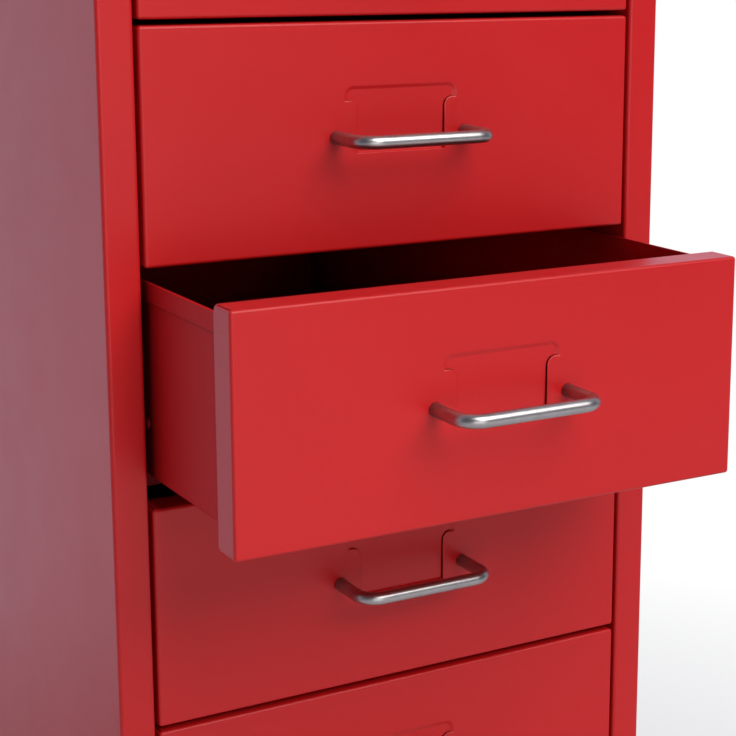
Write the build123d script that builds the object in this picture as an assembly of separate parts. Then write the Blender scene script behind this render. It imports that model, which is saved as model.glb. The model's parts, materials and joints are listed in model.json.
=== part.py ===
"""Slim steel drawer unit on four twin-wheel castors, with six drawers and one of them pulled out.

Millimetres, +Z up, front towards -Y. The model is drawn in the cabinet's own place: X 0 is midway
across, Y 0 is the plane of the closed drawer fronts and Z 0 is the floor. Each piece is then moved
by the same amount, so that the origin is on the floor, midway across the whole width and depth.
"""

import os

from build123d import *

# overall sizes
cabinetWidth = 280.0
cabinetDepth = 430.0  # from the front plane to the back screws' heads
cabinetHeight = 690.0
drawerCount = 6
openDrawer = 3  # counted from the top
openDistance = 86.0
drawerTravel = 300.0

# shell sheet metal
shellSheet = 0.8
shellBend = 1.0  # radius inside a fold
postWidth = 16.0
postReturn = 30.0  # how far a post's folded edge runs back beside the drawers
sideLip = 12.0  # side panel's folded lips, top and bottom
panLip = 12.0  # the lips of the top and base panels that lie on them
topRail = 11.5
baseRail = 11.0
backInset = 2.0  # back panel's edge, in from the side of the cabinet
backRim = 8.0  # back panel's folded rims
backRimGap = 0.4
lipScrewSetback = 60.0  # from the front or the side panels' rear face
backScrewInset = 20.0  # from the ends of the drawers' zone
backScrewCount = 4  # on each side

# drawer fronts
sideGap = 1.75
stackGap = 2.5
frontSheet = 0.8
frontBend = 0.7
frontReturn = 15.5
cornerSlit = 0.5

# label recess, measured from the handle's own height
labelTop = 20.0
labelShoulder = 16.0
labelBottom = -5.5
labelDepth = 1.4  # front of the recessed floor, behind the face
labelCorner = 3.5
labelScrewGap = 0.4  # between the recess's wall and a handle screw's head
lipWidth = 5.5  # how far each lip reaches over the recess
lipCorner = 4.0

# drawer trays
traySheet = 0.7
trayBend = 1.2
trayTopGap = 3.4  # below the front's top edge
trayBottomGap = 10.5  # above the front's bottom edge
hemHeight = 8.2
hemCrown = 0.55
trayBackGap = 3.0  # between tray and back panel when shut
studRadius = 2.5
studHead = 1.4
studCrown = 1.0  # radius of the head's rounded edge
studShank = 1.5
studTail = 1.0
studTailRadius = 2.2
studTailCrown = 0.5
glideStudSetback = 92.0  # behind the drawer's face
glideStudHeight = 24.0  # above the tray's bottom
stopStudHeight = 45.0

# stop tabs, folded out of the posts' returns
tabSetback = 24.0
tabHeight = 8.0
tabReach = 2.6
tabGap = 0.3  # left between tab and stud when the drawer is fully out

# runners
runnerSheet = 1.2
runnerBend = 0.6
runnerLedge = 12.0
runnerLeg = 11.0
runnerGap = 0.3  # under the tray
runnerFrontGap = 1.0  # behind a shut drawer front's returns
runnerNose = 6.8  # height of the flap folded down at a runner's front end
runnerNoseGap = 0.5
runnerEndGap = 2.0
rivetRadius = 2.0
rivetHeadRadius = 3.4
rivetHead = 0.8
rivetCrown = 0.5
rivetTail = 1.2
rivetNoseGap = 0.9  # between a rivet's head and the runner's nose
rivetDrop = 6.5  # below the ledge's top

# handles
handlePitch = 65.0
handleReach = 25.0
handleWire = 6.0
handleBend = 8.5

# screws
screwRadius = 2.0
screwHeadRadius = 3.8
screwHead = 2.2
screwCrown = 1.0
screwSlot = 0.9  # width of each arm of the cross
screwSlotDepth = 1.2
screwClearance = 0.25
screwBoreClearance = 0.05
handleScrewBite = 9.0
screwTail = 5.0

# castors
castorInsetX = 44.0
castorInsetY = 50.0
wheelRadius = 20.0
wheelWidth = 11.0
wheelSpacing = 10.0  # between the two wheels
wheelEdge = 2.5
wheelDishRadius = 14.0
wheelDish = 2.0
wheelHubRadius = 5.0
wheelHubRecess = 0.5  # hub's outer face, in from the tread's edge
wheelGap = 0.9  # between a wheel and the web's cut
castorTrail = 17.0
axleRadius = 2.5
axleChamfer = 0.4
axleBossRadius = 6.0
axleClearance = 0.05
pressClearance = 0.03
stemRadius = 4.0
stemClearance = 0.05
stemCollarRadius = 8.0
stemCollar = 3.0
stemTipGap = 1.3  # left in the boss under the stem
stemChamfer = 0.6
stemProud = 1.5  # above the nut
stemFaceGap = 0.3
bossRadius = 8.5
bossLength = 13.0
bossCrown = 1.0
neckInset = 1.0  # neck's front, in from the boss's
webWidth = 8.0
hoodGap = 1.5
hoodSheet = 2.2
hoodWidth = 34.0
hoodTopGap = 6.3  # between hood and base panel
hoodLowAngle = -12.0
hoodHighAngle = 158.0
nutSize = 13.0
nutHeight = 6.5
plateSize = 44.0
plateCorner = 5.0
plateSheet = 2.0
plateHoleClearance = 0.25

# cuts
holeReach = 3.0  # a hole's cut runs this far each side of its sheet's face
overrun = 1.0  # how far other cuts run past what they cut

# places that follow from the sizes above
shellBottom = 2 * wheelRadius + hoodGap + hoodSheet + hoodTopGap
sideBottom = shellBottom + baseRail
sideTop = cabinetHeight - topRail
drawerZone = sideTop - sideBottom
frontHeight = (drawerZone - stackGap * (drawerCount + 1)) / drawerCount
drawerPitch = frontHeight + stackGap
frontWidth = cabinetWidth - 2 * (postWidth + sideGap)
shellBack = cabinetDepth - screwHead
sideDepth = shellBack - shellSheet
halfWidth = cabinetWidth / 2
postEdge = halfWidth - postWidth  # the posts' inner edges
frontEdge = frontWidth / 2
hemFace = frontEdge - frontSheet
trayFace = hemFace - traySheet
trayStart = frontReturn - traySheet
trayEnd = sideDepth - trayBackGap
trayHeight = frontHeight - trayTopGap - trayBottomGap
handleLevel = frontHeight / 2
labelWidth = handlePitch - 2 * (screwHeadRadius + frontSheet + labelScrewGap)
tabFace = tabSetback + shellSheet
stopStudSetback = tabFace + tabGap + studRadius + drawerTravel
runnerStart = frontReturn + runnerFrontGap
runnerEnd = sideDepth - runnerEndGap
rivetSetback = runnerStart + runnerSheet + rivetHeadRadius + rivetNoseGap
wheelLevel = wheelRadius
stemTop = shellBottom + shellSheet + plateSheet + nutHeight + stemProud
bossTop = shellBottom - stemCollar - stemFaceGap
stemBottom = bossTop - bossLength + stemTipGap
frontmost = -openDistance - handleReach - handleWire / 2
originY = (frontmost + cabinetDepth) / 2
toOrigin = Pos(0, -originY, 0)
sides = {"left": -1, "right": 1}
castors = {
    "front_left": (-1, -1),
    "front_right": (1, -1),
    "rear_left": (-1, 1),
    "rear_right": (1, 1),
}


def save(node, *solids):
    """Writes one node, moved to the model's origin."""
    placed = [toOrigin * solid for solid in solids]
    shape = placed[0] if len(placed) == 1 else Compound(children=placed)
    export_step(shape, f"parts/{node}.step")


def block(x, y, z):
    """A box given by its two ends along each axis."""
    low = [min(pair) for pair in (x, y, z)]
    high = [max(pair) for pair in (x, y, z)]
    size = [b - a for a, b in zip(low, high)]
    middle = [(a + b) / 2 for a, b in zip(low, high)]
    return Pos(*middle) * Box(*size)


def rod(radius, start, end):
    """A round bar between two points along one axis."""
    start, end = Vector(start), Vector(end)
    plane = Plane(origin=start, z_dir=end - start)
    return extrude(plane * Circle(radius), (end - start).length)


def hole(radius, place, direction):
    """What a drill takes from one sheet. place is on the sheet's face."""
    along = Vector(direction) * holeReach
    return rod(radius, Vector(place) - along, Vector(place) + along)


def foldedStrip(points, sheet, bend):
    """The section of a sheet folded square at each inner point, drawn on its outer faces."""
    corners = [Vector(*point) for point in points]
    runs = [(b - a).normalized() for a, b in zip(corners, corners[1:])]
    normals = [Vector(-run.Y, run.X) for run in runs]
    inner, outerRadii, innerRadii = [], [], []
    for place, corner in enumerate(corners):
        if place == 0:
            inner.append(corner + normals[0] * sheet)
        elif place == len(corners) - 1:
            inner.append(corner + normals[-1] * sheet)
        else:
            inner.append(corner + (normals[place - 1] + normals[place]) * sheet)
            turnsLeft = runs[place - 1].cross(runs[place]).Z > 0
            outerRadii.append(bend + sheet if turnsLeft else bend)
            innerRadii.append(bend if turnsLeft else bend + sheet)
    outer = FilletPolyline(*corners, radius=outerRadii)
    inside = FilletPolyline(*inner, radius=innerRadii)
    ends = [Line(corners[0], inner[0]), Line(corners[-1], inner[-1])]
    return make_face([*outer.edges(), *inside.edges(), *ends])


def foldedPan(x, y, z, sheet, bend, mouth):
    """A sheet folded up on all four edges. mouth names the open side, such as '+y'."""
    axis = {"x": Axis.X, "y": Axis.Y, "z": Axis.Z}[mouth[1]]
    body = block(x, y, z)
    skin = body.faces().sort_by(axis)[0 if mouth[0] == "+" else -1]
    along = body.edges().filter_by(axis)
    body = fillet(along + skin.edges(), bend + sheet)
    spans = {"x": list(x), "y": list(y), "z": list(z)}
    for name, span in spans.items():
        span[0] += sheet
        span[1] -= sheet
    spans[mouth[1]][1 if mouth[0] == "+" else 0] += sheet if mouth[0] == "+" else -sheet
    hollow = block(spans["x"], spans["y"], spans["z"])
    floor = hollow.faces().sort_by(axis)[0 if mouth[0] == "+" else -1]
    hollow = fillet(hollow.edges().filter_by(axis) + floor.edges(), bend)
    return body - hollow


def frontBottom(number):
    """Height of a drawer front's bottom edge; number 1 is the top drawer."""
    return sideBottom + stackGap + (drawerCount - number) * drawerPitch


def drawerShift(number):
    """How far out a drawer stands in the stored pose."""
    return Pos(0, -openDistance if number == openDrawer else 0, 0)


def ledgeTop(number):
    return frontBottom(number) + trayBottomGap - runnerGap


def rivetPlaces():
    """Depth of each runner's two rivets, the rear one as far from the back as the first from the front."""
    return rivetSetback, sideDepth - rivetSetback


def sideScrewDepths():
    """Depth of the screws that hold the top and base panels, away from the ends."""
    return lipScrewSetback, sideDepth - lipScrewSetback


def backScrewLevels():
    """Heights of the back panel's screws."""
    step = (drawerZone - 2 * backScrewInset) / (backScrewCount - 1)
    return [sideBottom + backScrewInset + step * place for place in range(backScrewCount)]


def sidePanel(side):
    """One sheet: the outer skin, a folded post at each end and a lip along top and bottom."""
    outer, inner = halfWidth, postEdge
    section = foldedStrip(
        [
            (inner, postReturn),
            (inner, 0),
            (outer, 0),
            (outer, sideDepth),
            (inner, sideDepth),
            (inner, sideDepth - postReturn),
        ],
        shellSheet,
        shellBend,
    )
    panel = Pos(0, 0, sideBottom) * extrude(section, drawerZone)
    lipStart = postReturn + shellBend
    lipX = (outer - sideLip, outer - shellSheet)
    lipY = (lipStart, sideDepth - lipStart)
    panel += block(lipX, lipY, (sideBottom, sideBottom + shellSheet))
    panel += block(lipX, lipY, (sideTop - shellSheet, sideTop))
    lipCentre = outer - sideLip / 2
    for depth in sideScrewDepths():
        for level in (sideBottom, sideTop):
            panel -= hole(screwRadius + screwClearance, (lipCentre, depth, level), (0, 0, 1))
    for number in range(1, drawerCount + 1):
        tabLow = frontBottom(number) + trayBottomGap + stopStudHeight - tabHeight / 2
        tabX = (inner - tabReach, inner + shellSheet)
        panel += block(tabX, (tabSetback, tabFace), (tabLow, tabLow + tabHeight))
        for depth in rivetPlaces():
            level = ledgeTop(number) - rivetDrop
            panel -= hole(rivetRadius, (inner, depth, level), (1, 0, 0))
    for level in backScrewLevels():
        place = (outer - postWidth / 2, sideDepth, level)
        panel -= hole(screwRadius + screwClearance, place, (0, 1, 0))
    return panel if side > 0 else mirror(panel, Plane.YZ)


def topPanel():
    """A pan over the side panels, with lips along its two long rims."""
    pan = foldedPan(
        (-halfWidth, halfWidth), (0, shellBack), (sideTop, cabinetHeight), shellSheet, shellBend, "-z"
    )
    for side in sides.values():
        pan += panelLip(side, sideTop, sideTop + shellSheet)
    for x, depth in lipScrewPlaces():
        pan -= hole(screwRadius, (x, depth, sideTop), (0, 0, 1))
    return pan


def basePanel():
    """A pan under the side panels, which the castors are bolted through."""
    pan = foldedPan(
        (-halfWidth, halfWidth), (0, shellBack), (shellBottom, sideBottom), shellSheet, shellBend, "+z"
    )
    for side in sides.values():
        pan += panelLip(side, sideBottom - shellSheet, sideBottom)
    for x, depth in lipScrewPlaces():
        pan -= hole(screwRadius, (x, depth, sideBottom), (0, 0, 1))
    for name in castors:
        pan -= hole(stemRadius + screwClearance, (*castorPlace(name), shellBottom), (0, 0, 1))
    return pan


def panelLip(side, low, high):
    """The lip of the top or base panel on one side."""
    x = sorted((side * (halfWidth - shellSheet), side * (halfWidth - panLip)))
    start = postReturn + shellBend
    return block(x, (start, sideDepth - start), (low, high))


def lipScrewPlaces():
    """Across and along: the four screws through the lips."""
    x = halfWidth - sideLip / 2
    return [(side * x, depth) for side in sides.values() for depth in sideScrewDepths()]


def backPanel():
    """A sheet on the side panels' rear faces, with rims folded forward along top and bottom."""
    x = (-halfWidth + backInset, halfWidth - backInset)
    low, high = sideBottom + backRimGap, sideTop - backRimGap
    panel = block(x, (sideDepth, shellBack), (low, high))
    panel = fillet(panel.edges().filter_by(Axis.Y), backInset)
    rimX = (-postEdge + backRimGap, postEdge - backRimGap)
    rimY = (sideDepth - backRim, shellBack)
    panel += block(rimX, rimY, (low, low + shellSheet))
    panel += block(rimX, rimY, (high - shellSheet, high))
    for side in sides.values():
        x = side * (halfWidth - postWidth / 2)
        for level in backScrewLevels():
            panel -= hole(screwRadius + screwClearance, (x, shellBack, level), (0, 1, 0))
    return panel


def runner(number, side):
    """A ledge under the tray's edge, with its leg riveted to the post returns."""
    top = ledgeTop(number)
    section = foldedStrip(
        [(postEdge, top - runnerLeg), (postEdge, top), (postEdge - runnerLedge, top)],
        runnerSheet,
        runnerBend,
    )
    length = runnerEnd - runnerStart
    rail = extrude(Plane(origin=(0, runnerEnd, 0), x_dir=(1, 0, 0), z_dir=(0, -1, 0)) * section, length)
    noseX = (postEdge - runnerLedge, postEdge - runnerSheet - runnerNoseGap)
    rail += block(noseX, (runnerStart, runnerStart + runnerSheet), (top - runnerNose, top))
    level = top - rivetDrop
    for depth in rivetPlaces():
        rail -= hole(rivetRadius, (postEdge, depth, level), (1, 0, 0))
    return rail if side > 0 else mirror(rail, Plane.YZ)


def rivet(number, side, depth):
    """A rivet through a runner's leg and a post return, with a low head on each end."""
    level = ledgeTop(number) - rivetDrop
    headFace = postEdge - runnerSheet
    backFace = postEdge + shellSheet
    shank = rod(rivetRadius, (headFace, depth, level), (backFace, depth, level))
    head = rod(rivetHeadRadius, (headFace - rivetHead, depth, level), (headFace, depth, level))
    head = fillet(head.edges().sort_by(Axis.X)[0], rivetCrown)
    tail = rod(rivetHeadRadius, (backFace, depth, level), (backFace + rivetTail, depth, level))
    solid = shank + head + tail
    return solid if side > 0 else mirror(solid, Plane.YZ)


def screw(place, direction, shank):
    """A pan-head screw. place is under its head, and direction is the way that it points."""
    direction = Vector(direction)
    place = Vector(place)
    top = place - direction * screwHead
    head = rod(screwHeadRadius, top, place)
    crown = head.edges().filter_by(GeomType.CIRCLE).sort_by_distance(top)[0]
    head = fillet(crown, screwCrown)
    cross = Rectangle(screwRadius * 2, screwSlot) + Rectangle(screwSlot, screwRadius * 2)
    head -= extrude(Plane(origin=top, z_dir=direction) * cross, screwSlotDepth)
    return head + rod(screwRadius, place, place + direction * shank)


def drawerFront():
    """The front as it stands when shut: a pan with folded returns and the pressed label recess."""
    x = (-frontEdge, frontEdge)
    pan = foldedPan(x, (0, frontReturn), (0, frontHeight), frontSheet, frontBend, "+y")
    slitX = frontEdge - frontSheet - cornerSlit
    for side in sides.values():
        slit = sorted((side * slitX, side * (frontEdge - frontSheet)))
        slitY = (frontSheet + frontBend, frontReturn + overrun)
        pan -= block(slit, slitY, (frontHeight - frontSheet - overrun, frontHeight + overrun))
        pan -= block(slit, slitY, (-overrun, frontSheet + overrun))
    pan = pressLabel(pan)
    for side in sides.values():
        pan -= hole(screwRadius + screwClearance, (side * handlePitch / 2, 0, handleLevel), (0, 1, 0))
    return pan


def faceOutline(outline, start, end):
    """An outline on the drawer's face, X across and Z up from the handle, made solid in depth."""
    plane = Plane(origin=(0, start, handleLevel), x_dir=(1, 0, 0), z_dir=(0, -1, 0))
    return extrude(plane * outline, start - end)


def pressLabel(pan):
    """Sinks a shallow pocket into the face and leaves a lip over each of its lower sides."""
    height = labelTop - labelBottom
    middle = (labelTop + labelBottom) / 2
    pocket = Pos(0, middle) * RectangleRounded(labelWidth, height, labelCorner)
    shell = Pos(0, middle) * RectangleRounded(
        labelWidth + 2 * frontSheet, height + 2 * frontSheet, labelCorner + frontSheet
    )
    pan += faceOutline(shell, 0, labelDepth + frontSheet)
    pan -= faceOutline(pocket, -overrun, labelDepth)
    for side in sides.values():
        inner, outer = labelWidth / 2 - lipWidth, labelWidth / 2 + frontSheet / 2
        corners = [
            (side * outer, labelBottom),
            (side * inner, labelBottom),
            (side * inner, labelShoulder),
            (side * outer, labelShoulder),
        ]
        lip = make_face(Polyline(*corners, close=True))
        lip = fillet(min(lip.vertices(), key=lambda corner: abs(corner.X) - corner.Y), lipCorner)
        pan += faceOutline(lip, 0, frontSheet)
    return pan


def drawerTray():
    """The drawer's box in its shut place: a pan with an open top and hemmed side walls."""
    low, high = trayBottomGap, trayBottomGap + trayHeight
    x = (-trayFace, trayFace)
    tray = foldedPan(x, (trayStart, trayEnd), (low, high), traySheet, trayBend, "+z")
    wallTop = frontHeight - frontSheet
    wallX = (-trayFace + traySheet + trayBend, trayFace - traySheet - trayBend)
    tray += block(wallX, (trayStart, frontReturn), (high - overrun, wallTop))
    for side in sides.values():
        hem = sorted((side * trayFace, side * hemFace))
        hemY = (frontSheet + frontBend + screwHead, trayEnd - trayBend)
        sheet = block(hem, hemY, (high - hemHeight, high))
        crest = sheet.edges().filter_by(Axis.Y).group_by(Axis.Z)[-1]
        outer = crest.sort_by(Axis.X)[0 if side < 0 else -1]
        tray += fillet(outer, hemCrown)
        for depth, level in studPlaces():
            tray -= hole(studShank, (side * trayFace, depth, level), (1, 0, 0))
    return tray


def studPlaces():
    """Depth and height of the two studs in each side of a tray."""
    return [
        (glideStudSetback, trayBottomGap + glideStudHeight),
        (stopStudSetback, trayBottomGap + stopStudHeight),
    ]


def stud(side, depth, level):
    """A round-headed stud through a tray's side."""
    inside = trayFace - traySheet
    shank = rod(studShank, (inside, depth, level), (trayFace, depth, level))
    head = rod(studRadius, (trayFace, depth, level), (trayFace + studHead, depth, level))
    head = fillet(head.edges().sort_by(Axis.X)[-1], studCrown)
    tail = rod(studTailRadius, (inside - studTail, depth, level), (inside, depth, level))
    tail = fillet(tail.edges().sort_by(Axis.X)[0], studTailCrown)
    solid = shank + head + tail
    return solid if side > 0 else mirror(solid, Plane.YZ)


def handle():
    """A round wire bent into a bow, its ends butted on the face and drilled for the screws."""
    half = handlePitch / 2
    route = FilletPolyline(
        (-half, 0, handleLevel),
        (-half, -handleReach, handleLevel),
        (half, -handleReach, handleLevel),
        (half, 0, handleLevel),
        radius=handleBend,
    )
    wire = sweep(Plane(origin=route @ 0, z_dir=route % 0) * Circle(handleWire / 2), route)
    for side in sides.values():
        bore = screwRadius + screwBoreClearance
        deepest = -handleScrewBite - overrun
        wire -= rod(bore, (side * half, overrun, handleLevel), (side * half, deepest, handleLevel))
    return wire


def handleScrews():
    """The screws behind the face that hold the handle."""
    shank = frontSheet + handleScrewBite
    return [
        screw((side * handlePitch / 2, frontSheet, handleLevel), (0, -1, 0), shank)
        for side in sides.values()
    ]


def makeDrawer(number):
    """Writes one drawer's pieces."""
    place = drawerShift(number) * Pos(0, 0, frontBottom(number))
    name = f"drawer_{number}"
    studs = [stud(side, *where) for side in sides.values() for where in studPlaces()]
    save(f"{name}_front", place * drawerFront())
    save(f"{name}_tray", place * drawerTray())
    save(f"{name}_handle", place * handle())
    save(f"{name}_handle_screws", *[place * each for each in handleScrews()])
    save(f"{name}_studs", *[place * each for each in studs])


def castorPlace(name):
    """Where a castor's stem stands."""
    x, y = castors[name]
    depth = castorInsetY if y < 0 else shellBack - castorInsetY
    return x * (halfWidth - castorInsetX), depth


def castorStem():
    """A threaded stem with a collar under the base, drawn on the swivel axis."""
    stem = rod(stemRadius, (0, 0, stemBottom), (0, 0, stemTop))
    stem = chamfer(stem.edges().filter_by(GeomType.CIRCLE), stemChamfer)
    return stem + rod(stemCollarRadius, (0, 0, shellBottom - stemCollar), (0, 0, shellBottom))


def castorHousing():
    """Boss, web and hood in one moulding. The wheels trail behind the swivel axis."""
    centre = (castorTrail, wheelLevel)
    side = Plane(origin=(0, 0, 0), x_dir=(0, 1, 0), z_dir=(1, 0, 0))
    inner = wheelRadius + hoodGap
    outer = inner + hoodSheet
    hood = Pos(*centre) * (Circle(outer) - Circle(inner))
    reach = outer * 2
    ends = [Vector(*centre) + Vector(reach, 0).rotate(Axis.Z, angle) for angle in hoodAngles()]
    wedge = make_face(Polyline(centre, *[(end.X, end.Y) for end in ends], close=True))
    hood = extrude(side * (hood & wedge), hoodWidth / 2, both=True)
    webDisc = Pos(*centre) * Circle(outer - hoodSheet / 2)
    web = extrude(side * (webDisc & wedge), webWidth / 2, both=True)
    hub = rod(axleBossRadius, (-webWidth / 2, *centre), (webWidth / 2, *centre))
    boss = rod(bossRadius, (0, 0, bossTop - bossLength), (0, 0, bossTop))
    boss = fillet(boss.edges().sort_by(Axis.Z)[-1], bossCrown)
    neckY = (neckInset - bossRadius, castorTrail)
    neck = block((-webWidth / 2, webWidth / 2), neckY, (wheelLevel, bossTop - bossCrown))
    body = boss + hood + web + hub + neck
    for end in (-1, 1):
        outside = (end * (hoodWidth / 2 + overrun), *centre)
        body -= rod(wheelRadius + wheelGap, (end * webWidth / 2, *centre), outside)
    boreLow = stemBottom - stemFaceGap
    body -= rod(stemRadius + stemClearance, (0, 0, boreLow), (0, 0, bossTop + overrun))
    body -= rod(axleRadius + axleClearance, (-webWidth, *centre), (webWidth, *centre))
    return body


def hoodAngles():
    """Directions from the axle that fan over the hood's arc, rear end first."""
    steps = 4
    span = hoodHighAngle - hoodLowAngle
    return [hoodLowAngle + span * place / steps for place in range(steps + 1)]


def castorAxle():
    """The pin that both wheels are pressed on."""
    half = wheelSpacing / 2 + wheelWidth - wheelDish
    pin = rod(axleRadius, (-half, castorTrail, wheelLevel), (half, castorTrail, wheelLevel))
    return chamfer(pin.edges().filter_by(GeomType.CIRCLE), axleChamfer)


def castorWheel(end):
    """A solid wheel with a dished outer face and a raised hub."""
    inner, outer = wheelSpacing / 2, wheelSpacing / 2 + wheelWidth
    bore = axleRadius + pressClearance
    outline = Polyline(
        (inner, bore),
        (inner, wheelRadius),
        (outer, wheelRadius),
        (outer, wheelDishRadius),
        (outer - wheelDish, wheelDishRadius),
        (outer - wheelDish, wheelHubRadius),
        (outer - wheelHubRecess, wheelHubRadius),
        (outer - wheelHubRecess, bore),
        close=True,
    )
    face = make_face(outline)
    face = fillet(face.vertices().group_by(Axis.Y)[-1], wheelEdge)
    wheel = Pos(0, castorTrail, wheelLevel) * revolve(face, Axis.X)
    return wheel if end > 0 else mirror(wheel, Plane.YZ)


def castorNut(x, y):
    """A hexagon nut on the castor's thread, above the stiffening plate."""
    low = shellBottom + shellSheet + plateSheet
    nut = extrude(Pos(x, y, low) * RegularPolygon(nutSize / 2, 6, major_radius=False), nutHeight)
    nut -= rod(stemRadius, (x, y, low - overrun), (x, y, low + nutHeight + overrun))
    return nut


def castorPlate(x, y):
    """A square plate that spreads the castor's load over the base."""
    low = shellBottom + shellSheet
    plate = block(
        (x - plateSize / 2, x + plateSize / 2),
        (y - plateSize / 2, y + plateSize / 2),
        (low, low + plateSheet),
    )
    plate = fillet(plate.edges().filter_by(Axis.Z), plateCorner)
    bore = stemRadius + plateHoleClearance
    return plate - rod(bore, (x, y, low - overrun), (x, y, low + plateSheet + overrun))


def makeCastors():
    """Writes the four castors and what holds them in the base."""
    for name in castors:
        place = Pos(*castorPlace(name), 0)
        save(f"castor_{name}_stem", place * castorStem())
        save(f"castor_{name}_housing", place * castorHousing())
        save(f"castor_{name}_axle", place * castorAxle())
        save(f"castor_{name}_wheels", *[place * castorWheel(end) for end in (-1, 1)])
    places = [castorPlace(name) for name in castors]
    save("castor_nuts", *[castorNut(*place) for place in places])
    save("castor_plates", *[castorPlate(*place) for place in places])


def shellScrews():
    """Writes the screws that hold the top, the base and the back."""
    lipShank = 2 * shellSheet + screwTail
    save(
        "top_screws",
        *[screw((x, y, sideTop - shellSheet), (0, 0, 1), lipShank) for x, y in lipScrewPlaces()],
    )
    save(
        "base_screws",
        *[screw((x, y, sideBottom + shellSheet), (0, 0, -1), lipShank) for x, y in lipScrewPlaces()],
    )
    x = halfWidth - postWidth / 2
    save(
        "back_screws",
        *[
            screw((side * x, shellBack, level), (0, -1, 0), lipShank)
            for side in sides.values()
            for level in backScrewLevels()
        ],
    )


def makeShell():
    """Writes the cabinet's fixed pieces."""
    numbers = range(1, drawerCount + 1)
    for name, side in sides.items():
        save(f"{name}_side_panel", sidePanel(side))
        save(f"{name}_runners", *[runner(number, side) for number in numbers])
        save(
            f"{name}_runner_rivets",
            *[rivet(number, side, depth) for number in numbers for depth in rivetPlaces()],
        )
    save("top_panel", topPanel())
    save("base_panel", basePanel())
    save("back_panel", backPanel())
    shellScrews()


def main():
    os.makedirs("parts", exist_ok=True)
    makeShell()
    for number in range(1, drawerCount + 1):
        makeDrawer(number)
    makeCastors()


if __name__ == "__main__":
    main()
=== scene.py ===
import json
import math

import bmesh
import bpy
from mathutils import Matrix, Vector

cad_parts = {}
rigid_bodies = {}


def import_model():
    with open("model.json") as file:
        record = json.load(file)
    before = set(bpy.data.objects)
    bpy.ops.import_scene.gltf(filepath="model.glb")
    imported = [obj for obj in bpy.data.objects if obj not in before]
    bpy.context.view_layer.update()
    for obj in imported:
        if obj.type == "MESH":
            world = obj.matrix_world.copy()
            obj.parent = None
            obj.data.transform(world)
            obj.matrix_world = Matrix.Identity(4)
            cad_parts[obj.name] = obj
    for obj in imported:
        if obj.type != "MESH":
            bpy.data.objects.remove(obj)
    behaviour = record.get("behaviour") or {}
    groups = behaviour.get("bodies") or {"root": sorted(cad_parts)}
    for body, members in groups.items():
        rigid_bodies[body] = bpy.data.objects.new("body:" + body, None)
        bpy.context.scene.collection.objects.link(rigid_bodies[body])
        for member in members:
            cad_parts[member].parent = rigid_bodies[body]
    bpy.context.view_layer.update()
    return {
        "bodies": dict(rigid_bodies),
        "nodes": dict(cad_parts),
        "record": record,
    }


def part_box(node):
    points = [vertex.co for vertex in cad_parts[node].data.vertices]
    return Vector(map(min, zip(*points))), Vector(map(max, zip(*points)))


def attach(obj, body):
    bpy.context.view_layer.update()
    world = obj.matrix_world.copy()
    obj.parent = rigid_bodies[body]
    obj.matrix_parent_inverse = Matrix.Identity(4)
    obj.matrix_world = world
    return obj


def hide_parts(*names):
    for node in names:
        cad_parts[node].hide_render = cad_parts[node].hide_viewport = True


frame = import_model()

mm = 0.001
quarterTurn = math.pi / 2
fullTurn = 2 * math.pi
plainWhite = (1, 1, 1, 1)
raySamples = 4  # rays that each edge or hollow test sends


# a socket in an expression: each operator adds the Math node that it stands for
class Wire:
    def __init__(self, paint, socket):
        self.paint = paint
        self.socket = socket

    def maths(self, operation, *others):
        return self.paint.node("ShaderNodeMath", {"operation": operation}, [self, *others])

    def clamped(self):
        return self.paint.node("ShaderNodeClamp", {}, [self, 0.0, 1.0])

    # a noise's swing to either side of its middle
    def swing(self, amount):
        return (self - 0.5) * amount

    def __add__(self, other):
        return self.maths("ADD", other)

    def __mul__(self, other):
        return self.maths("MULTIPLY", other)

    def __sub__(self, other):
        return self.maths("SUBTRACT", other)

    def __rsub__(self, other):
        return self.paint.node("ShaderNodeMath", {"operation": "SUBTRACT"}, [other, self])

    __radd__ = __add__
    __rmul__ = __mul__


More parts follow.
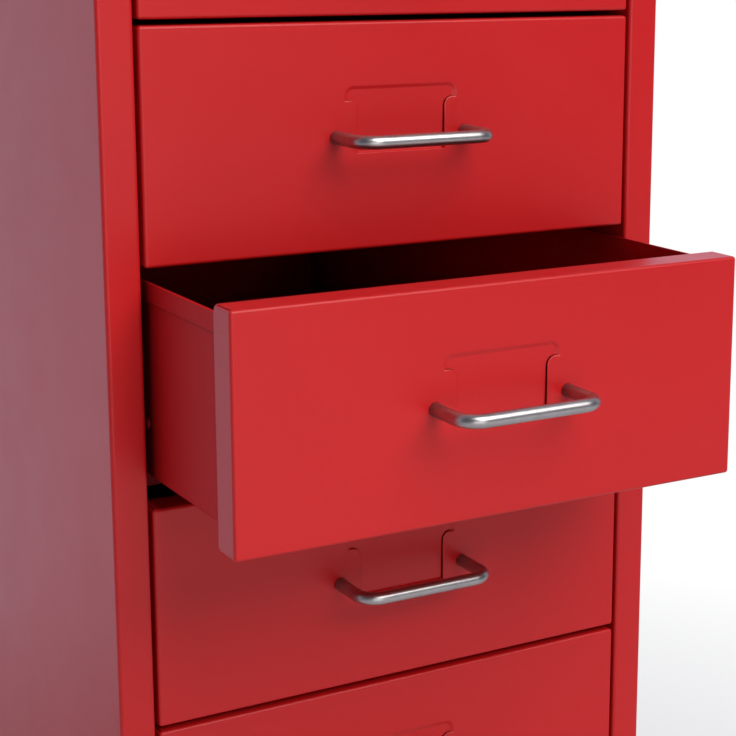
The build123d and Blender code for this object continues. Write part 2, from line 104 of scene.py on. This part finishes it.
# the nodes of one material, or of the world
class Paint:
    def __init__(self, owner, output="ShaderNodeOutputMaterial"):
        owner.use_nodes = True
        self.owner = owner
        self.tree = owner.node_tree
        self.tree.nodes.clear()
        self.out = self.tree.nodes.new(output)

    # settings go first, then the sockets, by place in a list or by name or place in a dictionary
    def node(self, kind, settings, sockets, output=0):
        made = self.tree.nodes.new(kind)
        for name, value in settings.items():
            setattr(made, name, value)
        pairs = sockets.items() if isinstance(sockets, dict) else enumerate(sockets)
        for place, value in pairs:
            if isinstance(value, Wire):
                self.tree.links.new(value.socket, made.inputs[place])
            else:
                made.inputs[place].default_value = value
        return Wire(self, made.outputs[output])

    # the Mix node's colour sockets are its seventh and eighth, and its colour output the third
    def mix(self, factor, first, second):
        sockets = {0: factor, 6: first, 7: second}
        return self.node("ShaderNodeMix", {"data_type": "RGBA"}, sockets, 2)

    def where(self):
        return self.node("ShaderNodeTexCoord", {}, {}, "Object")

    def stretched(self, place, scale):
        return self.node("ShaderNodeVectorMath", {"operation": "MULTIPLY"}, [place, scale])

    def noise(self, place, scale, detail, roughness):
        sockets = {"Vector": place, "Scale": scale, "Detail": detail, "Roughness": roughness}
        return self.node("ShaderNodeTexNoise", {}, sockets)

    def between(self, value, low, high):
        return self.node("ShaderNodeMapRange", {}, [value, low, high])

    def bump(self, height, distance):
        sockets = {"Strength": 1.0, "Distance": distance, "Height": height}
        return self.node("ShaderNodeBump", {}, sockets)

    # how far the surface turns within a small radius: 0 on a flat, near 1 on a sharp edge
    def edges(self, radius):
        rounded = self.node("ShaderNodeBevel", {"samples": raySamples}, [radius])
        flat = self.node("ShaderNodeNewGeometry", {}, {}, "Normal")
        settings = {"operation": "DOT_PRODUCT"}
        likeness = self.node("ShaderNodeVectorMath", settings, [rounded, flat], "Value")
        return (1 - likeness).clamped()

    # how open the surface is to the air within a radius: 1 on a flat, near 0 deep in a gap
    def openness(self, radius):
        sockets = {"Distance": radius}
        return self.node("ShaderNodeAmbientOcclusion", {"samples": raySamples}, sockets, "AO")

    def upward(self):
        normal = self.node("ShaderNodeNewGeometry", {}, {}, "Normal")
        return self.node("ShaderNodeSeparateXYZ", {}, [normal], "Z")

    def show(self, surface):
        self.tree.links.new(surface.socket, self.out.inputs["Surface"])
        return self.owner

    def shade(self, **sockets):
        named = {name.replace("_", " "): value for name, value in sockets.items()}
        return self.show(self.node("ShaderNodeBsdfPrincipled", {}, named))


# each noise below is its scale, detail and roughness
powderCoat = {
    "red": (0.55, 0.01, 0.011, 1),
    "deepRed": (0.49, 0.007, 0.008, 1),
    "edgeRed": (0.62, 0.03, 0.028, 1),
    # painted shade: the dark red that closed-in places are darkened towards
    "crease": (0.1, 0.001, 0.002, 1),
    "dust": (0.6, 0.2, 0.19, 1),
    "gloss": 1.4,  # index of refraction
    "roughness": 0.37,
    "rubbedRoughness": 0.1,
    "grainyRoughness": 0.05,
    "dustyRoughness": 2.0,
    # painted shade: hollows are darkened in the colour, as shade would fall there: how far they
    # reach, and how open they are where that starts and ends
    "hollows": ((1.2 * mm, 0.72, 0.35),),
    "cloud": (5.0, 3.0, 0.5),
    "cloudStart": 0.35,
    "cloudShare": 1.6,
    "grain": (1 / (0.35 * mm), 1.0, 0.5),
    "grainShare": 0.35,
    "grainDepth": 0.15,  # as a share of the peel's
    "peel": (1 / (2.2 * mm), 2.0, 0.45),
    "peelDepth": 0.012 * mm,
    "rub": (28.0, 5.0, 0.65),
    "edgeReach": 0.8 * mm,
    "edgeWear": 0.5,
    "dustFacing": (0.85, 1.0),  # how nearly level a surface has to be to gather dust
    "dustPatches": (0.45, 0.8),
    "dustShare": 0.03,
}
# the drawer boxes' coat is flatter, with more orange peel, and its colour darkens deep in the
# cabinet too: painted shade where the cabinet closes round it
boxCoat = {
    **powderCoat,
    "gloss": 1.18,
    "roughness": 0.5,
    "hollows": ((1.6 * mm, 0.92, 0.6), (60 * mm, 0.9, 0.3)),
    "peelDepth": 0.02 * mm,
}


def redPowder(name, c):
    paint = Paint(bpy.data.materials.new(name))
    place = paint.where()
    cloud = paint.noise(place, *c["cloud"])
    grain = paint.noise(place, *c["grain"])
    peel = paint.noise(place, *c["peel"])
    rub = paint.noise(place, *c["rub"])
    edge = paint.edges(c["edgeReach"])
    clouded = (cloud - c["cloudStart"]) * c["cloudShare"] + grain.swing(c["grainShare"])
    colour = paint.mix(clouded, c["deepRed"], c["red"])
    colour = paint.mix(edge * rub * c["edgeWear"], colour, c["edgeRed"])
    level = paint.between(paint.upward(), *c["dustFacing"])
    dusty = level * paint.between(rub, *c["dustPatches"]) * c["dustShare"]
    colour = paint.mix(dusty, colour, c["dust"])
    # painted shade: where the surface is closed in, the colour is darkened towards a dark red,
    # standing in for the shade that falls there
    for reach, start, end in c["hollows"]:
        paintedShadeMask = paint.between(paint.openness(reach), start, end)
        colour = paint.mix(paintedShadeMask, colour, c["crease"])
    uneven = rub.swing(c["rubbedRoughness"]) + grain.swing(c["grainyRoughness"])
    return paint.shade(
        Base_Color=colour,
        Roughness=c["roughness"] + uneven + dusty * c["dustyRoughness"],
        IOR=c["gloss"],
        Normal=paint.bump(peel + grain * c["grainDepth"], c["peelDepth"]),
    )


satinNickel = {
    "pale": (0.46, 0.43, 0.425, 1),
    "dark": (0.32, 0.295, 0.295, 1),
    "roughness": 0.33,
    "streakStretch": (40, 6000, 1),  # along the wire, and round it
    "streak": (1.0, 2.0, 0.5),
    "streakRoughness": 0.12,
    "streakDepth": 0.004 * mm,
    "patch": (180.0, 3.0, 0.6),
    "patchRoughness": 0.08,
    "patchEdges": (0.35, 0.75),
    "patchShare": 0.5,
}


def nickel():
    c = satinNickel
    paint = Paint(bpy.data.materials.new("satinNickel"))
    along = paint.node("ShaderNodeTexCoord", {}, {}, "UV")
    streak = paint.noise(paint.stretched(along, c["streakStretch"]), *c["streak"])
    patch = paint.noise(paint.where(), *c["patch"])
    darker = paint.between(patch, *c["patchEdges"]) * c["patchShare"]
    uneven = streak.swing(c["streakRoughness"]) + patch.swing(c["patchRoughness"])
    return paint.shade(
        Base_Color=paint.mix(darker, c["pale"], c["dark"]),
        Metallic=1.0,
        Roughness=c["roughness"] + uneven,
        Normal=paint.bump(streak, c["streakDepth"]),
    )


zincPlate = {
    "bright": (0.58, 0.58, 0.6, 1),
    "dull": (0.4, 0.39, 0.38, 1),
    "roughness": 0.36,
    "spangle": (700.0, 3.0, 0.6),
    "spangleRoughness": 0.3,
    "spangleDepth": 0.01 * mm,
    "stain": (90.0, 4.0, 0.6),
    "stainEdges": (0.4, 0.7),
}


def zinc():
    c = zincPlate
    paint = Paint(bpy.data.materials.new("zincPlate"))
    place = paint.where()
    spangle = paint.noise(place, *c["spangle"])
    stain = paint.noise(place, *c["stain"])
    return paint.shade(
        Base_Color=paint.mix(paint.between(stain, *c["stainEdges"]), c["bright"], c["dull"]),
        Metallic=1.0,
        Roughness=c["roughness"] + spangle.swing(c["spangleRoughness"]),
        Normal=paint.bump(spangle, c["spangleDepth"]),
    )


blackNylon = {
    "black": (0.012, 0.012, 0.013, 1),
    "worn": (0.06, 0.058, 0.056, 1),
    "roughness": 0.52,
    "scuffRoughness": 0.25,
    "spark": (1 / (0.5 * mm), 2.0, 0.6),
    "sparkDepth": 0.03 * mm,
    "scuff": (160.0, 5.0, 0.65),
    "scuffEdges": (0.5, 0.8),
    "scuffDepth": 0.5,  # as a share of the spark erosion's
    "edgeReach": 0.6 * mm,
    "flatWear": 0.25,
}
greyTyre = {
    **blackNylon,
    "black": (0.03, 0.03, 0.031, 1),
    "worn": (0.13, 0.125, 0.12, 1),
    "roughness": 0.6,
    "spark": (1 / (0.8 * mm), 2.0, 0.6),
}


def moulded(name, c):
    paint = Paint(bpy.data.materials.new(name))
    place = paint.where()
    spark = paint.noise(place, *c["spark"])
    scuff = paint.noise(place, *c["scuff"])
    worn = (paint.edges(c["edgeReach"]) + c["flatWear"]) * paint.between(scuff, *c["scuffEdges"])
    return paint.shade(
        Base_Color=paint.mix(worn.clamped(), c["black"], c["worn"]),
        Roughness=c["roughness"] + scuff.swing(c["scuffRoughness"]),
        Normal=paint.bump(spark + scuff * c["scuffDepth"], c["sparkDepth"]),
    )


finishes = {
    "red_steel": redPowder("redPowder", powderCoat),
    "handle_metal": nickel(),
    "bright_steel": zinc(),
    "castor_plastic": moulded("blackNylon", blackNylon),
    "wheel_plastic": moulded("greyTyre", greyTyre),
}
boxFinish = redPowder("boxPowder", boxCoat)
slotOf = {part["node"]: part["material_slot"] for part in frame["record"]["subparts"]}
for name, piece in frame["nodes"].items():
    piece.data.materials.clear()
    boxed = name.endswith(("tray", "studs", "runners"))
    piece.data.materials.append(boxFinish if boxed else finishes[slotOf[name]])
print("finishes made:", ", ".join(finishes))


# one piece of the object, in place, on its body and standing for its CAD nodes
def addPiece(name, mesh, finish, body, *nodes):
    piece = bpy.data.objects.new(name, mesh)
    bpy.context.scene.collection.objects.link(piece)
    mesh.materials.append(finishes[finish])
    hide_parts(*nodes)
    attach(piece, body)
    return piece


# facing is a point and the way that a face near it looks, so that an open skin turns right side out
def finishMesh(name, form, facing=None):
    bmesh.ops.recalc_face_normals(form, faces=form.faces)
    if facing:
        point, direction = facing
        nearest = min(form.faces, key=lambda face: (face.calc_center_median() - point).length)
        if nearest.normal.dot(direction) < 0:
            bmesh.ops.reverse_faces(form, faces=form.faces)
    for face in form.faces:
        face.smooth = True
    mesh = bpy.data.meshes.new(name)
    form.to_mesh(mesh)
    form.free()
    return mesh


softEdge = {
    "segments": 2,
    "sharpAngle": 35,  # degrees: an edge that turns further is rounded
}


def softEdges(piece, width):
    bevel = piece.modifiers.new("edges", "BEVEL")
    bevel.width = width
    bevel.segments = softEdge["segments"]
    bevel.limit_method = "ANGLE"
    bevel.angle_limit = math.radians(softEdge["sharpAngle"])
    piece.modifiers.new("normals", "WEIGHTED_NORMAL").keep_sharp = False


def arc(x, z, radius, start, end, steps):
    turns = [math.radians(start + (end - start) * step / steps) for step in range(steps + 1)]
    return [(x + radius * math.cos(turn), z + radius * math.sin(turn)) for turn in turns]


# a slow start and a slow end on the way from 0 to 1
def eased(along):
    return along * along * (3 - 2 * along)


# a skin over rows of points, each row a closed loop unless it is open
# skip leaves out some of its strips
def skin(form, rows, skip=(), opened=False):
    made = [[form.verts.new(point) for point in row] for row in rows]
    for near, far in zip(made, made[1:]):
        for place in range(len(near) - 1 if opened else len(near)):
            if place not in skip:
                after = (place + 1) % len(near)
                form.faces.new((near[place], near[after], far[after], far[place]))
    return made


# in mm; the label pocket's heights are from the handle's own height
drawerFront = {
    "depth": 15.5,
    "sheet": 0.8,
    "bend": 1.5,
    "bendSteps": 5,
    "slit": (0.8, 1.3),  # its two edges, in from the side
    "slitSteps": 3,
    "chamfer": 0.8,  # rear corners of the side returns
    "labelHalf": 27.5,
    "labelTop": 21.5,
    "labelBottom": -7.5,
    "labelDepth": (0.8, 1.4),  # at its top and at its bottom
    "labelCorner": 3.5,
    "cornerSteps": 8,
    "slope": 1.3,  # the pocket's soft slope, each way from its middle
    "slopeSteps": 6,
    "ledge": 0.9,
    "lipEdge": 22.0,
    "lipShoulder": 16.0,
    "lipCorner": 4.0,
    "lipSteps": 6,
    "lipProud": 0.35,
    "lipRamp": 1.2,
    "lipRoll": (0.75, 0.5),  # the free edge's rounding, across the lip and into its depth
    "tuck": 0.3,
    "tuckLength": 1.2,
    "edgeSoftness": 0.26,
    "weld": 0.01,
    "flatness": 0.001,
}


# points round the front's outline, one corner after another, once its bend has turned so far
def frontOutline(c, halfX, halfZ, turned):
    bend = c["bend"]
    reach = bend * math.sin(turned)
    slit = [math.acos((bend - inset) / bend) for inset in c["slit"]]
    turns = [slit[0] * step / c["slitSteps"] for step in range(c["slitSteps"])]
    turns += [*slit, quarterTurn]
    corner = [(reach, -c["chamfer"])]
    corner += [(reach * math.cos(turn), reach * math.sin(turn)) for turn in turns]
    points = []
    for sideX, sideZ in ((1, 1), (-1, 1), (-1, -1), (1, -1)):
        ordered = corner if sideX == sideZ else corner[::-1]
        points += [(sideX * (halfX - bend + x), sideZ * (halfZ - bend + z)) for x, z in ordered]
    return points


# outer bend, then the returns, with a slit at each corner and the side returns' rear corners cut
def makeShell(form, c, put, halfX, halfZ):
    bend = c["bend"]
    rows = []
    for step in range(c["bendSteps"] + 1):
        turned = quarterTurn * step / c["bendSteps"]
        outline = frontOutline(c, halfX, halfZ, turned)
        rows.append(put([(x, z, bend * (1 - math.cos(turned))) for x, z in outline]))
    skin(form, rows)
    rear, cut = c["depth"], c["depth"] - c["chamfer"]
    before = c["slitSteps"] + 1
    quarter = [rear] + [cut] * before + [rear] * 2
    depths = (quarter + quarter[::-1]) * 2
    last = put([(x, z, depth) for (x, z), depth in zip(outline, depths)])
    count = len(quarter)
    slits = (before, count + 1, 2 * count + before, 3 * count + 1)
    skin(form, [rows[-1], last], skip=slits)


# the label pocket's floor leans in a little towards its bottom
def pocketFloor(c, height):
    shallow, deep = c["labelDepth"]
    share = (c["labelTop"] - height) / (c["labelTop"] - c["labelBottom"])
    return shallow + (deep - shallow) * share


# an open row over the label pocket's top and its sides, from the rim at 0 to the floor at 1
def pocketRow(c, along):
    shift = c["slope"] * (1 - 2 * along)
    side, top = c["labelHalf"] + shift, c["labelTop"] + shift
    corner = c["labelCorner"] + shift
    rounded = arc(side - corner, top - corner, corner, 0, 90, c["cornerSteps"])
    right = [(side, c["lipShoulder"])] + rounded
    points = right + [(-x, z) for x, z in reversed(right)]
    return [(x, z, pocketFloor(c, z) * eased(along)) for x, z in points]


# round a lip's tip from its free edge, at some distance in from that edge
def lipCurve(c, inset=0.0):
    radius = c["lipCorner"]
    middleX, middleZ = c["lipEdge"] + radius, c["lipShoulder"] - radius
    return arc(middleX, middleZ, radius - inset, 180, 90, c["lipSteps"])


# soft slopes above the lips, a crisp ledge below, and the floor cut along the lips
def makePocket(form, c, put):
    steps = [step / c["slopeSteps"] for step in range(c["slopeSteps"] + 1)]
    rows = [pocketRow(c, along) for along in steps]
    slopes = skin(form, [put(row) for row in rows], opened=True)
    # the slopes run on a little behind the lips' tips
    tuck, fall = c["tuck"], c["tuckLength"]
    for place, inward in ((0, -1), (-1, 1)):
        ends = [row[place] for row in rows]
        tucked = [(x + inward * tuck, z - fall, depth + tuck) for x, z, depth in ends]
        skin(form, [put(ends), put(tucked)], opened=True)
    edge = c["lipEdge"]
    rows = []
    for along in steps:
        height = c["labelBottom"] + c["ledge"] * along
        depth = pocketFloor(c, height) * eased(along)
        rows.append(put([(-edge, height, depth), (edge, height, depth)]))
    ledge = skin(form, rows, opened=True)
    cuts = []
    for side in (-1, 1):
        curve = put([(side * x, z, pocketFloor(c, z)) for x, z in lipCurve(c)])
        cuts.append([form.verts.new(point) for point in curve])
    left, right = cuts
    form.faces.new(ledge[-1] + right + slopes[-1] + left[::-1])


# over the pocket, a little proud on a ramp along their roots, with their free edges rolled back
def makeLips(form, c, put):
    edge, bottom, shoulder = c["lipEdge"], c["labelBottom"], c["lipShoulder"]
    root, proud = c["labelHalf"] + c["slope"], -c["lipProud"]
    across, back = c["lipRoll"]
    crest, foot = root - c["lipRamp"], bottom + c["lipRamp"]
    outer = [(root, shoulder), (root, bottom), (edge, bottom)]
    inner = [(crest, shoulder - across), (crest, foot), (edge + across, foot)]
    free = [(edge, foot)] + lipCurve(c) + [(crest, shoulder)]
    rolled = [inner[2]] + lipCurve(c, across) + [inner[0]]
    for side in (-1, 1):

        def raised(points, depth):
            return put([(side * x, z, depth) for x, z in points])

        skin(form, [raised(outer, 0), raised(inner, proud)], opened=True)
        rounding = [raised(free, proud + back), raised(rolled, proud)]
        face = skin(form, rounding, opened=True)[1]
        form.faces.new(face + [form.verts.new(point) for point in raised(inner[1:2], proud)])
        for start, far, near in ((outer[0], free[-1], rolled[-1]), (outer[2], free[0], rolled[0])):
            corners = raised([start], 0) + raised([far], proud + back) + raised([near], proud)
            form.faces.new([form.verts.new(point) for point in corners])


def makeFront(number):
    c = drawerFront
    node = f"drawer_{number}_front"
    low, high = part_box(node)
    halfX, halfZ = (high[0] - low[0]) / 2 / mm, (high[2] - low[2]) / 2 / mm
    middle = Vector(((low[0] + high[0]) / 2, low[1], (low[2] + high[2]) / 2))
    form = bmesh.new()

    # points (across, up, depth) in mm from the middle of this front
    def put(points):
        return [middle + Vector((x, depth, z)) * mm for x, z, depth in points]

    makeShell(form, c, put, halfX, halfZ)
    makePocket(form, c, put)
    makeLips(form, c, put)
    bmesh.ops.remove_doubles(form, verts=form.verts, dist=c["weld"] * mm)
    near = c["flatness"] * mm
    flat = [
        edge
        for edge in form.edges
        if edge.is_boundary and all(abs(vert.co.y - low[1]) < near for vert in edge.verts)
    ]
    bmesh.ops.triangle_fill(form, edges=flat, use_beauty=True)
    name = f"drawer{number}Front"
    mesh = finishMesh(name, form, (middle, Vector((0, -1, 0))))
    front = addPiece(name, mesh, "red_steel", f"drawer_{number}", node)
    sheet = front.modifiers.new("sheet", "SOLIDIFY")
    sheet.thickness = c["sheet"] * mm
    sheet.offset = -1
    sheet.use_even_offset = True
    softEdges(front, c["edgeSoftness"] * mm)


drawerCount = sum(name.endswith("_front") for name in frame["nodes"])
for number in range(1, drawerCount + 1):
    makeFront(number)
print("drawer fronts made:", drawerCount)


# in mm
wireHandle = {
    "bend": 8.5,
    "bendSteps": 12,
    "barSteps": 12,
    "around": 40,
    "endChamfer": 0.35,
}


# the wire's route in plan, as a point and a heading at each step
def handleRoute(half, reach, c):
    bend = c["bend"]
    straight = (0, c["endChamfer"], reach - bend)
    route = [((-half, out), quarterTurn) for out in straight]
    for step in range(1, c["bendSteps"] + 1):
        heading = quarterTurn * (1 - step / c["bendSteps"])
        x, out = -half + bend - bend * math.sin(heading), reach - bend + bend * math.cos(heading)
        route.append(((x, out), heading))
    leg = len(route)
    span = half - bend
    for step in range(1, c["barSteps"]):
        route.append(((-span + 2 * span * step / c["barSteps"], reach), 0.0))
    return route + [((-x, out), -heading) for (x, out), heading in reversed(route[:leg])]


def makeHandle(number):
    c = wireHandle
    node = f"drawer_{number}_handle"
    low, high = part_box(node)
    wire = (high[2] - low[2]) / 2
    half = (high[0] - low[0]) / 2 - wire
    reach = high[1] - low[1] - wire
    middle = Vector(((low[0] + high[0]) / 2, high[1], (low[2] + high[2]) / 2))
    route = handleRoute(half / mm, reach / mm, c)
    form = bmesh.new()
    turns = [fullTurn * step / c["around"] for step in range(c["around"])]
    up = Vector((0, 0, 1))
    rows, lengths = [], []
    for place, ((x, out), heading) in enumerate(route):
        centre = middle + Vector((x, -out, 0)) * mm
        across = Vector((math.sin(heading), math.cos(heading), 0))
        ending = place in (0, len(route) - 1)
        radius = wire - (c["endChamfer"] * mm if ending else 0)
        spokes = [across * math.cos(turn) + up * math.sin(turn) for turn in turns]
        rows.append([centre + spoke * radius for spoke in spokes])
        gone = (Vector((x, out)) - Vector(route[place - 1][0])).length * mm if place else 0
        lengths.append((lengths[-1] if lengths else 0) + gone)
    made = skin(form, rows)
    for ring in (made[0], made[-1]):
        form.faces.new(ring)
    # the satin streaks need to know how far along the wire and how far round it a point is
    spread = form.loops.layers.uv.new("wire")
    girth = fullTurn * wire
    spots = {}
    for ring, length in zip(made, lengths):
        for place, vert in enumerate(ring):
            spots[vert] = (length, girth * place / c["around"])
    for face in form.faces:
        for loop in face.loops:
            loop[spread].uv = spots[loop.vert]
        # the strip that closes the ring runs on past the full turn
        rounds = [loop[spread].uv.y for loop in face.loops]
        if len(rounds) == 4 and max(rounds) - min(rounds) > girth / 2:
            for loop in face.loops:
                if loop[spread].uv.y < girth / 2:
                    loop[spread].uv.y += girth
    name = f"drawer{number}Handle"
    addPiece(name, finishMesh(name, form), "handle_metal", f"drawer_{number}", node)


for number in range(1, drawerCount + 1):
    makeHandle(number)
print("handles made:", drawerCount)


# in mm, out along the axle from a wheel's inner face
castorWheel = {
    "width": 11.0,
    "bore": 2.4,
    "tread": 20.0,
    "innerRound": 1.8,
    "outerRound": 2.5,
    "roundSteps": 4,
    "grooves": (2.6, 5.6),
    "grooveWidth": 1.2,
    "grooveDepth": 0.45,
    "grooveSlope": 0.3,
    "dishEdge": (14.4, 13.9, 13.5),  # radii down into the dish
    "dishLip": 0.4,
    "dishDepth": 2.0,
    "boss": (6.0, 5.6, 4.6),  # radii up over the hub
    "bossRise": (1.5, 1.8),
    "bossTop": 0.05,
    "ribs": 6,
    "ribWidth": 1.3,
    "ribTaper": 0.7,
    "ribRise": 1.2,
    "ribSink": 0.3,
    "around": 72,
    "edgeSoftness": 0.18,
}


# (distance along the axle, radius) from the bore out over the tread and in to the hub
def wheelProfile(c):
    tread, width, slope = c["tread"], c["width"], c["grooveSlope"]
    small, large, floor = c["innerRound"], c["outerRound"], c["width"] - c["dishDepth"]
    points = [(0, c["bore"])] + arc(small, tread - small, small, 180, 90, c["roundSteps"])
    for start in c["grooves"]:
        end, sunk = start + c["grooveWidth"], tread - c["grooveDepth"]
        points += [(start, tread), (start + slope, sunk), (end - slope, sunk), (end, tread)]
    points += arc(width - large, tread - large, large, 90, 0, c["roundSteps"])
    dished = (width, width - c["dishLip"], floor)
    raised = (floor, *(floor + rise for rise in c["bossRise"]), width)
    points += zip(dished, c["dishEdge"])
    return points + list(zip(raised, (*c["boss"], c["bossTop"])))


# a rib's section, as (distance along the axle, distance aside), and the radii of its two ends
def wheelRib(c, floor):
    half = c["ribWidth"] / 2
    section = [(floor - c["ribSink"], -half), (floor + c["ribRise"], -half * c["ribTaper"])]
    section += [(along, -aside) for along, aside in reversed(section)]
    return section, (c["boss"][1] - c["ribSink"], c["dishEdge"][2] + c["ribSink"])


def makeWheels(corner):
    c = castorWheel
    node = f"castor_{corner}_wheels"
    low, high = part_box(node)
    middle = Vector([(low[axis] + high[axis]) / 2 for axis in range(3)])
    inner = (high[0] - low[0]) / 2 / mm - c["width"]
    section, ends = wheelRib(c, inner + c["width"] - c["dishDepth"])
    turns = [fullTurn * step / c["around"] for step in range(c["around"])]
    form = bmesh.new()
    for side in (-1, 1):

        # a point in mm along the axle, out from it at a turn, and aside from that spoke
        def put(along, radius, turn, aside=0.0):
            up, out = math.sin(turn), math.cos(turn)
            back, rise = radius * out - aside * up, radius * up + aside * out
            return middle + Vector((side * along, back, rise)) * mm

        profile = wheelProfile(c)
        rows = [[put(inner + along, radius, turn) for turn in turns] for along, radius in profile]
        skin(form, rows)
        for rib in range(c["ribs"]):
            turn = fullTurn * rib / c["ribs"]
            rows = [[put(along, end, turn, aside) for along, aside in section] for end in ends]
            for end in skin(form, rows):
                form.faces.new(end)
    name = "wheels" + "".join(word.title() for word in corner.split("_"))
    mesh = finishMesh(name, form)
    wheels = addPiece(name, mesh, "wheel_plastic", f"wheels_{corner}", node)
    softEdges(wheels, c["edgeSoftness"] * mm)


prefix = "wheels_"
corners = [body.removeprefix(prefix) for body in frame["bodies"] if body.startswith(prefix)]
for corner in corners:
    makeWheels(corner)
print("castor wheels made:", len(corners))


studio = {
    "floorSize": 60.0,
    "floorGrey": 0.6,
    "floorFade": (0.35, 0.8),  # distances from the origin between which the shown floor turns white
    "floorLift": 0.5,
    "airFront": 0.16,
    "airBack": 1.7,
    "airFade": (-0.1, 0.5),
    "airTint": (0.74, 0.82, 1.0, 1),
    "zenithFade": (0.25, 0.85),
    "zenithLoss": 0.65,
    "keyPlace": (0.5, -1.85, 2.25),
    "keySize": (2.0, 2.0),
    "keyPower": 70.0,
    "fillPlace": (-0.3, -2.3, 0.3),
    "fillSize": (1.8, 1.5),
    "fillPower": 13.5,
    "aim": (0.0, -0.1, 0.42),
}


# the rays straight to the camera, and those mirrored or through glass, each 0 or 1
def shownRays(paint):
    camera = paint.node("ShaderNodeLightPath", {}, {}, "Is Camera Ray")
    sockets = camera.socket.node.outputs
    mirrored = Wire(paint, sockets["Is Glossy Ray"]) + Wire(paint, sockets["Is Transmission Ray"])
    return camera, mirrored.clamped()


# white to the camera, and in reflections on the backdrop's side of the object
def backdrop(paint, kind, behind, amount):
    camera, mirrored = shownRays(paint)
    colour = paint.mix(camera, studio["airTint"], plainWhite)
    glow = paint.node(kind, {}, {"Color": colour, "Strength": 1.0})
    return (camera + behind * mirrored).clamped() * amount, glow


def makeFloor():
    half = studio["floorSize"] / 2
    mesh = bpy.data.meshes.new("floor")
    corners = [(-half, -half, 0), (half, -half, 0), (half, half, 0), (-half, half, 0)]
    mesh.from_pydata(corners, [], [(0, 1, 2, 3)])
    floor = bpy.data.objects.new("floor", mesh)
    bpy.context.scene.collection.objects.link(floor)
    grey = studio["floorGrey"]
    paint = Paint(bpy.data.materials.new("paleFloor"))
    plain = paint.node("ShaderNodeBsdfDiffuse", {}, [(grey, grey, grey, 1)])
    near, far = studio["floorFade"]
    place = paint.where()
    away = paint.node("ShaderNodeVectorMath", {"operation": "LENGTH"}, [place], "Value")
    fade = paint.node("ShaderNodeMapRange", {}, [away, near, far, studio["floorLift"], 1.0])
    depth = paint.node("ShaderNodeSeparateXYZ", {}, [place], "Y")
    behind = paint.between(depth, 0.0, far)
    share, glow = backdrop(paint, "ShaderNodeEmission", behind, fade)
    mesh.materials.append(paint.show(paint.node("ShaderNodeMixShader", {}, [share, plain, glow])))


# the air lights the object brightly from behind and dimly from in front
def makeWorld():
    world = bpy.data.worlds.new("studioAir")
    bpy.context.scene.world = world
    paint = Paint(world, "ShaderNodeOutputWorld")
    facing = paint.node("ShaderNodeTexCoord", {}, {}, "Generated")
    depth = paint.node("ShaderNodeSeparateXYZ", {}, [facing], "Y")
    height = paint.node("ShaderNodeSeparateXYZ", {}, [facing], "Z")
    start, end = studio["airFade"]
    front, back = studio["airFront"], studio["airBack"]
    strength = paint.node("ShaderNodeMapRange", {}, [depth, start, end, front, back])
    level = 1 - paint.between(height, *studio["zenithFade"]) * studio["zenithLoss"]
    sockets = {"Color": studio["airTint"], "Strength": strength * level}
    air = paint.node("ShaderNodeBackground", {}, sockets)
    behind = paint.between(depth, start, end) * level
    share, glow = backdrop(paint, "ShaderNodeBackground", behind, 1.0)
    paint.show(paint.node("ShaderNodeMixShader", {}, [share, air, glow]))


def makeLamp(name, place, size, power):
    lamp = bpy.data.lights.new(name, "AREA")
    lamp.shape = "RECTANGLE"
    lamp.size, lamp.size_y = size
    lamp.energy = power
    holder = bpy.data.objects.new(name, lamp)
    bpy.context.scene.collection.objects.link(holder)
    holder.location = place
    aim = Vector(studio["aim"]) - Vector(place)
    holder.rotation_mode = "QUATERNION"
    holder.rotation_quaternion = aim.to_track_quat("-Z", "Y")


# fitted to the cabinet's edges in the photograph
portrait = {
    "place": (-0.38616, -0.84945, 0.60614),
    "pan": 0.53212,
    "tilt": 0.20587,
    "roll": 0.00293,
    "focalPixels": 1781.22,
    "shift": (-0.1, -0.07),
    "framePixels": 736,
    "sensor": 36.0,
    "sight": 200,
}


def makeCamera():
    c = portrait
    data = bpy.data.cameras.new("portrait")
    data.sensor_width = c["sensor"]
    data.lens = c["focalPixels"] / c["framePixels"] * c["sensor"]
    data.clip_end = c["sight"]
    data.shift_x, data.shift_y = c["shift"]
    camera = bpy.data.objects.new("portrait", data)
    bpy.context.scene.collection.objects.link(camera)
    level = math.cos(c["tilt"])
    sideways, forwards = math.sin(c["pan"]), math.cos(c["pan"])
    ahead = Vector((sideways * level, forwards * level, -math.sin(c["tilt"])))
    right = Vector((forwards, -sideways, 0))
    up = right.cross(ahead)
    turn = Matrix.Rotation(-c["roll"], 3, ahead)
    axes = Matrix((turn @ right, turn @ up, -ahead)).transposed()
    camera.matrix_world = Matrix.Translation(c["place"]) @ axes.to_4x4()
    bpy.context.scene.camera = camera


makeFloor()
makeWorld()
makeLamp("key", studio["keyPlace"], studio["keySize"], studio["keyPower"])
makeLamp("fill", studio["fillPlace"], studio["fillSize"], studio["fillPower"])
makeCamera()
bpy.context.scene.view_settings.view_transform = "Standard"
print("studio and camera ready")
